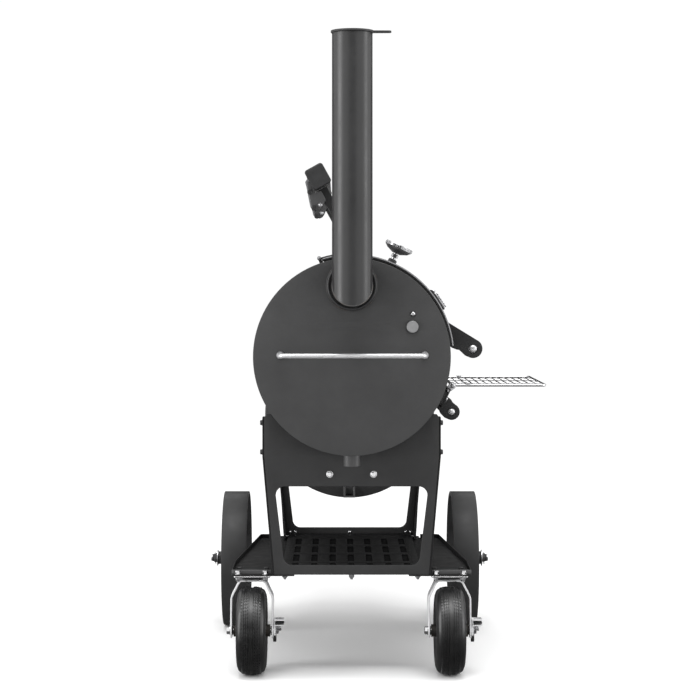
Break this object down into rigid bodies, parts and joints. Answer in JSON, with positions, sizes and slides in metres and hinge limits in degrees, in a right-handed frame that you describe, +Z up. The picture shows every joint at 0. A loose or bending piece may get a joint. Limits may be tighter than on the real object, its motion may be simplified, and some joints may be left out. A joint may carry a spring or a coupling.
{
  "type": "offset smoker",
  "caption": "Pipe-built offset smoker on a wheeled cart: cooking chamber, lower firebox, chimney, counterweighted door, fold-down wire shelf and braked casters.",
  "frame": {"origin": "on the ground under the middle of the bounding box", "axes": "+X to the operator's side, +Y from the chimney end to the firebox end, +Z up"},
  "size_m": [0.938, 1.7184, 1.665],
  "materials": {
    "powder_coat": "charcoal powder coat, satin",
    "frame_coat": "black powder coat, satin",
    "bright_chrome": "polished",
    "zinc_plate": "zinc plated",
    "stainless": "brushed",
    "bare_iron": "seasoned",
    "tyre_rubber": "moulded",
    "black_plastic": "moulded",
    "rope_seal": "woven",
    "dial_glass": "clear"
  },
  "bodies": {
    "cart": {"chamber_shell": "powder_coat", "chamber_end_plate": "powder_coat", "divider_plate": "powder_coat", "firebox_shell": "powder_coat", "firebox_end_plate": "powder_coat", "stack_pipe": "powder_coat", "end_handle_bar": "bright_chrome", "plug_keeper_screw": "zinc_plate", "chamber_hinge_near": "frame_coat", "chamber_hinge_far": "frame_coat", "firebox_lid_hinge": "frame_coat", "cooking_grate": "bare_iron", "heat_baffle": "bare_iron", "fire_grate": "bare_iron", "leg_frame_near": "frame_coat", "leg_frame_far": "frame_coat", "deck_tray": "frame_coat", "wing_back": "frame_coat", "wing_front": "frame_coat", "rear_axle": "zinc_plate", "axle_cap_back": "zinc_plate", "axle_cap_front": "zinc_plate", "caster_plate_back": "zinc_plate", "caster_plate_front": "zinc_plate", "shelf_rail": "frame_coat"},
    "chamber_door": {"chamber_door_skin": "powder_coat", "chamber_door_gasket": "rope_seal", "door_handle_bar": "stainless", "thermometer_case": "bright_chrome", "thermometer_glass": "dial_glass", "emblem_plate": "frame_coat", "counterweight_tube": "frame_coat", "counterweight_cap_near": "black_plastic", "counterweight_cap_far": "black_plastic", "weight_bracket_near": "frame_coat", "weight_bracket_far": "frame_coat"},
    "thermometer_pointer": {"thermometer_needle": "frame_coat"},
    "firebox_lid": {"firebox_lid_skin": "powder_coat", "firebox_lid_gasket": "rope_seal", "lid_handle_bar": "stainless"},
    "fire_door": {"fire_door": "powder_coat", "fire_door_gasket": "rope_seal", "air_damper_bolt": "zinc_plate"},
    "air_damper": {"air_damper": "stainless"},
    "fire_latch": {"fire_latch_lever": "frame_coat"},
    "stack_damper": {"stack_damper": "powder_coat"},
    "probe_plug": {"probe_plug": "zinc_plate"},
    "shelf": {"wire_shelf": "bright_chrome"},
    "caster_back": {"caster_fork_back": "bright_chrome", "caster_axle_back": "zinc_plate"},
    "caster_front": {"caster_fork_front": "bright_chrome", "caster_axle_front": "zinc_plate"},
    "caster_wheel_back": {"caster_tyre_back": "tyre_rubber", "caster_hub_back": "bare_iron"},
    "caster_wheel_front": {"caster_tyre_front": "tyre_rubber", "caster_hub_front": "bare_iron"},
    "brake_back": {"caster_brake_back": "zinc_plate"},
    "brake_front": {"caster_brake_front": "zinc_plate"},
    "rear_wheel_back": {"rear_wheel_back": "powder_coat"},
    "rear_wheel_front": {"rear_wheel_front": "powder_coat"}
  },
  "joints": [
    {"name": "chamber_door_hinge", "type": "hinge", "parent": "cart", "child": "chamber_door", "pos_m": [-0.1375, -0.23032, 1.092], "axis": [0, -1, 0], "range_deg": [0, 95]},
    {"name": "thermometer_pointer_turn", "type": "hinge", "parent": "chamber_door", "child": "thermometer_pointer", "pos_m": [0.07991, -0.23032, 1.12145], "axis": [0.4226, 0, 0.9063], "range_deg": [0, 270], "stiffness_Nm_per_rad": 0.002},
    {"name": "firebox_lid_hinge", "type": "hinge", "parent": "cart", "child": "firebox_lid", "pos_m": [-0.1375, 0.47968, 0.8855], "axis": [0, -1, 0], "range_deg": [0, 95]},
    {"name": "fire_door_hinge", "type": "hinge", "parent": "cart", "child": "fire_door", "pos_m": [-0.2245, 0.75318, 0.615], "axis": [0, 0, 1], "range_deg": [0, 110]},
    {"name": "air_damper_turn", "type": "hinge", "parent": "fire_door", "child": "air_damper", "pos_m": [-0.05249, 0.74918, 0.6], "axis": [0, 1, 0], "range_deg": [0, 45]},
    {"name": "fire_latch_turn", "type": "hinge", "parent": "fire_door", "child": "fire_latch", "pos_m": [0.0655, 0.75018, 0.655], "axis": [0, -1, 0], "range_deg": [0, 60]},
    {"name": "stack_damper_swivel", "type": "hinge", "parent": "cart", "child": "stack_damper", "pos_m": [-0.05249, -0.74102, 1.657], "axis": [0, 0, 1], "range_deg": [0, 100]},
    {"name": "probe_plug_pull", "type": "slide", "parent": "cart", "child": "probe_plug", "axis": [0, -1, 0], "range_m": [0, 0.03]},
    {"name": "shelf_fold", "type": "hinge", "parent": "cart", "child": "shelf", "pos_m": [0.21751, -0.25732, 0.754], "axis": [0, 1, 0], "range_deg": [0, 85]},
    {"name": "caster_back_swivel", "type": "hinge", "parent": "cart", "child": "caster_back", "pos_m": [-0.314, -0.52532, 0.245], "axis": [0, 0, 1], "continuous": true},
    {"name": "caster_front_swivel", "type": "hinge", "parent": "cart", "child": "caster_front", "pos_m": [0.205, -0.52532, 0.245], "axis": [0, 0, 1], "continuous": true},
    {"name": "caster_wheel_back_spin", "type": "hinge", "parent": "caster_back", "child": "caster_wheel_back", "pos_m": [-0.314, -0.56532, 0.1145], "axis": [1, 0, 0], "continuous": true},
    {"name": "caster_wheel_front_spin", "type": "hinge", "parent": "caster_front", "child": "caster_wheel_front", "pos_m": [0.205, -0.56532, 0.1145], "axis": [1, 0, 0], "continuous": true},
    {"name": "brake_back_press", "type": "hinge", "parent": "caster_back", "child": "brake_back", "pos_m": [-0.254, -0.56532, 0.1145], "axis": [1, 0, 0], "range_deg": [0, 20]},
    {"name": "brake_front_press", "type": "hinge", "parent": "caster_front", "child": "brake_front", "pos_m": [0.265, -0.56532, 0.1145], "axis": [1, 0, 0], "range_deg": [0, 20]},
    {"name": "rear_wheel_back_spin", "type": "hinge", "parent": "cart", "child": "rear_wheel_back", "pos_m": [-0.39149, 0.18468, 0.199], "axis": [1, 0, 0], "continuous": true},
    {"name": "rear_wheel_front_spin", "type": "hinge", "parent": "cart", "child": "rear_wheel_front", "pos_m": [0.28651, 0.18468, 0.199], "axis": [1, 0, 0], "continuous": true}
  ]
}
